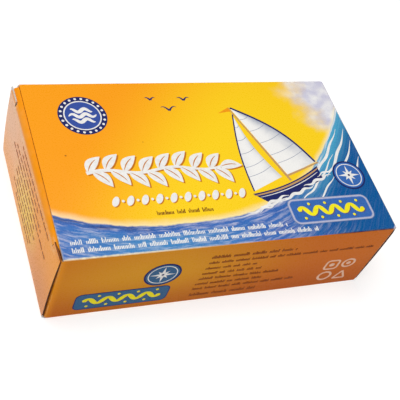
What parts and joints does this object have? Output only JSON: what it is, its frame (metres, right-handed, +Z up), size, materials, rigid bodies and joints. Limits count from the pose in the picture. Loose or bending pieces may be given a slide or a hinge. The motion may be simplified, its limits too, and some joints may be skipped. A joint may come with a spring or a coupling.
{
  "type": "folding carton of a sardine tin",
  "caption": "Shut printed paperboard carton for a flat rectangular fish can, lying on its largest panel, with a tuck closure at both ends.",
  "frame": {"origin": "centre of the base's bounding box, on the surface that the carton lies on", "axes": "+X along the length, towards the end whose closure hangs from the top panel; +Y from the front panel to the back panel; +Z up"},
  "size_m": [0.108, 0.0624, 0.03],
  "materials": {
    "printed_board": "glossy varnish over offset print in orange, yellow and sea blue, on white-lined paperboard"
  },
  "bodies": {
    "root": {"carton": "printed_board"}
  },
  "joints": []
}
